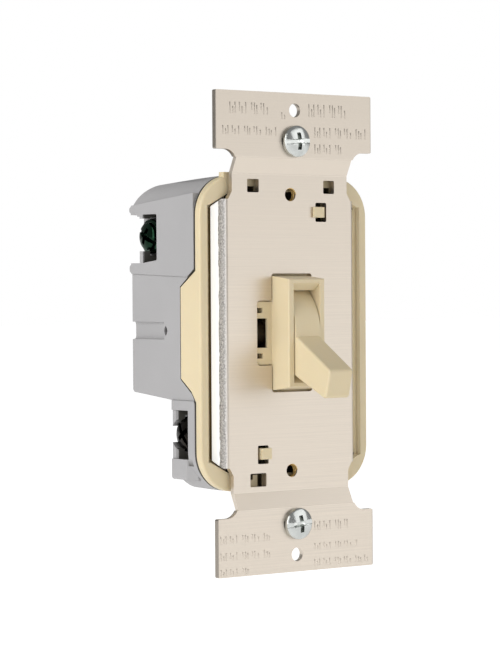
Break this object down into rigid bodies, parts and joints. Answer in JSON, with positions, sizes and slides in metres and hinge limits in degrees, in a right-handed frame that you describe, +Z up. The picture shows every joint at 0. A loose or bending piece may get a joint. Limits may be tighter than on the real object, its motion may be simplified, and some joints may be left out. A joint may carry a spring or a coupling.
{
  "type": "toggle wall dimmer switch",
  "caption": "Wall-box dimmer with a toggle lever in a narrow bezel, brushed metal mounting strap with wide ears, ivory cover, grey rear housing and side terminal screws.",
  "frame": {"origin": "middle of the two box-screw holes, on the back face of the mounting ears, where they rest on the wall", "axes": "+X to the right seen from the room, +Y into the wall, +Z up; the toggle points towards -Y"},
  "size_m": [0.0454, 0.0475, 0.1044],
  "materials": {
    "strap_aluminium": "fine horizontal brushing, sheared edges",
    "ivory_plastic": "moulded, satin",
    "grey_plastic": "moulded, fine grain",
    "zinc_steel": "zinc plated, bright",
    "green_screw": "green dyed plating",
    "black_screw": "black oxide",
    "brass": "stamped, bright",
    "dark_plating": "dark chromate on steel",
    "fibre": "pressed fibre board",
    "board": "phenolic laminate",
    "black_epoxy": "moulded epoxy",
    "tinned": "tinned copper",
    "mica": "thermal pad",
    "ferrite": "coated iron powder core",
    "enamel_copper": "enamelled wire",
    "film_box": "potted box",
    "resistor_body": "lacquered",
    "carbon": "printed carbon",
    "white_plastic": "acetal",
    "silver": "silver alloy",
    "bronze": "phosphor bronze strip"
  },
  "bodies": {
    "device": {"mounting_strap": "strap_aluminium", "front_cover": "ivory_plastic", "toggle_bezel": "ivory_plastic", "pivot_pin": "zinc_steel", "rear_housing": "grey_plastic", "housing_screws": "zinc_steel", "screw_washers": "fibre", "ground_plate": "dark_plating", "line_plate": "brass", "load_plate": "brass", "circuit_board": "board", "pot_base": "board", "pot_track": "carbon", "triac_body": "black_epoxy", "triac_tab": "tinned", "triac_leads": "tinned", "insulating_pad": "mica", "choke_core": "ferrite", "choke_winding": "enamel_copper", "film_capacitor": "film_box", "timing_capacitor": "film_box", "resistors": "resistor_body", "trigger_diode": "resistor_body", "arm_bracket": "brass", "fixed_contact_plate": "brass", "fixed_contact": "silver"},
    "toggle": {"toggle_lever": "ivory_plastic"},
    "wiper": {"wiper_carrier": "white_plastic", "wiper_contact": "bronze"},
    "contact_arm": {"contact_arm": "bronze", "moving_contact": "silver"},
    "box_screw_top": {"box_screw_top": "zinc_steel"},
    "box_screw_bottom": {"box_screw_bottom": "zinc_steel"},
    "ground_screw": {"ground_screw": "green_screw"},
    "line_screw": {"line_screw": "black_screw"},
    "load_screw": {"load_screw": "brass"}
  },
  "joints": [
    {"name": "toggle_hinge", "type": "hinge", "parent": "device", "child": "toggle", "pos_m": [0, 0.0064, 0], "axis": [-1, 0, 0], "range_deg": [0, 46]},
    {"name": "wiper_slide", "type": "slide", "parent": "device", "child": "wiper", "axis": [0, 0, -1], "range_m": [0, 0.00817]},
    {"name": "contact_arm_hinge", "type": "hinge", "parent": "device", "child": "contact_arm", "pos_m": [-0.0124, 0.0129, 0.00745], "axis": [0, 1, 0], "range_deg": [0, 2.65]},
    {"name": "box_screw_top_travel", "type": "slide", "parent": "device", "child": "box_screw_top", "axis": [0, -1, 0], "range_m": [0, 0.008]},
    {"name": "box_screw_bottom_travel", "type": "slide", "parent": "device", "child": "box_screw_bottom", "axis": [0, -1, 0], "range_m": [0, 0.008]},
    {"name": "ground_screw_travel", "type": "slide", "parent": "device", "child": "ground_screw", "axis": [1, 0, 0], "range_m": [0, 0.0023]},
    {"name": "line_screw_travel", "type": "slide", "parent": "device", "child": "line_screw", "axis": [1, 0, 0], "range_m": [0, 0.0023]},
    {"name": "load_screw_travel", "type": "slide", "parent": "device", "child": "load_screw", "axis": [-1, 0, 0], "range_m": [0, 0.0023]}
  ],
  "couplings": [
    {"joint": "wiper_slide", "follows": "toggle_hinge", "m_per_rad": 0.010151},
    {"joint": "contact_arm_hinge", "follows": "toggle_hinge", "ratio": 0.056522}
  ]
}
